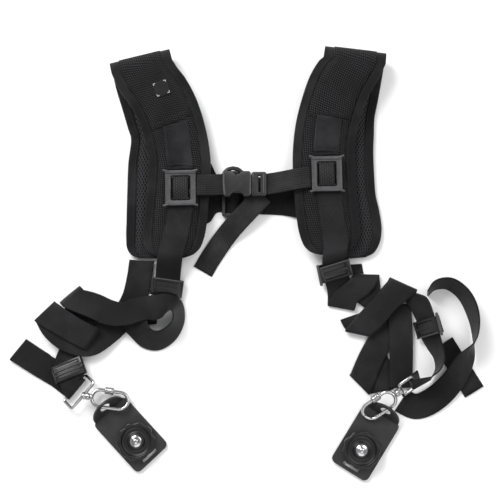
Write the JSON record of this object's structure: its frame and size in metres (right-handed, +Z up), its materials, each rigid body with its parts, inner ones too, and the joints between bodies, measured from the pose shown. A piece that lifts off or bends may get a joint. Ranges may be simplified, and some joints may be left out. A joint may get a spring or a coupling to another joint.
{
  "type": "dual camera harness",
  "caption": "Padded shoulder harness lying flat, with chest and rear straps and long slings whose snap hooks hold camera plates with thumb wheels.",
  "frame": {"origin": "middle of the harness in plan, at the table", "axes": "+X across the shoulders to the right as shown, +Y towards the shoulder folds, +Z up from the table"},
  "size_m": [0.4678, 0.4297, 0.0365],
  "materials": {
    "pad_cloth": "matte spacer mesh and woven cloth",
    "grosgrain": "matte ribbed webbing",
    "sling_webbing": "matte woven webbing",
    "patch_cloth": "matte woven patch",
    "moulded_plastic": "satin moulded",
    "plate_rubber": "matte coated",
    "polished_metal": "polished",
    "dark_metal": "satin"
  },
  "bodies": {
    "harness": {"left_pad": "pad_cloth", "right_pad": "pad_cloth", "left_pad_webbing": "grosgrain", "right_pad_webbing": "grosgrain", "left_sling_front": "sling_webbing", "right_sling_front": "sling_webbing", "left_sling_curl": "sling_webbing", "left_sling_rear": "sling_webbing", "right_sling_drop": "sling_webbing", "right_sling_fold": "sling_webbing", "right_sling_loop": "sling_webbing", "right_sling_tail": "sling_webbing", "right_sling_rear": "sling_webbing", "left_slider": "moulded_plastic", "right_slider": "moulded_plastic", "left_front_lock": "moulded_plastic", "right_front_lock": "moulded_plastic", "left_ring": "polished_metal", "left_hook": "polished_metal", "left_camera_plate": "plate_rubber", "right_ring": "polished_metal", "right_hook": "polished_metal", "right_camera_plate": "plate_rubber", "left_sling_ring_end": "sling_webbing", "left_ring_lock": "moulded_plastic", "right_sling_cross": "sling_webbing", "right_ring_lock": "moulded_plastic", "chest_strap_left": "grosgrain", "chest_strap_right": "grosgrain", "chest_strap_tail": "grosgrain", "chest_buckle_body": "moulded_plastic", "chest_buckle_plug": "moulded_plastic", "rear_strap": "grosgrain", "rear_strap_adjuster": "moulded_plastic", "left_pad_patch": "patch_cloth"},
    "left_wheel": {"left_thumb_wheel": "plate_rubber", "left_camera_screw": "polished_metal"},
    "right_wheel": {"right_thumb_wheel": "plate_rubber", "right_camera_screw": "polished_metal"},
    "left_sleeve": {"left_hook_sleeve": "dark_metal"},
    "right_sleeve": {"right_hook_sleeve": "dark_metal"}
  },
  "joints": [
    {"name": "left_wheel_turn", "type": "hinge", "parent": "harness", "child": "left_wheel", "pos_m": [-0.10737, -0.17599, 0.004], "axis": [0, 0, 1], "continuous": true},
    {"name": "right_wheel_turn", "type": "hinge", "parent": "harness", "child": "right_wheel", "pos_m": [0.11193, -0.1846, 0.004], "axis": [0, 0, 1], "continuous": true},
    {"name": "left_sleeve_slide", "type": "slide", "parent": "harness", "child": "left_sleeve", "axis": [-0.9879, 0.1388, 0.0698], "range_m": [0, 0.0032]},
    {"name": "right_sleeve_slide", "type": "slide", "parent": "harness", "child": "right_sleeve", "axis": [0.7874, 0.5514, 0.2756], "range_m": [0, 0.0032]}
  ]
}
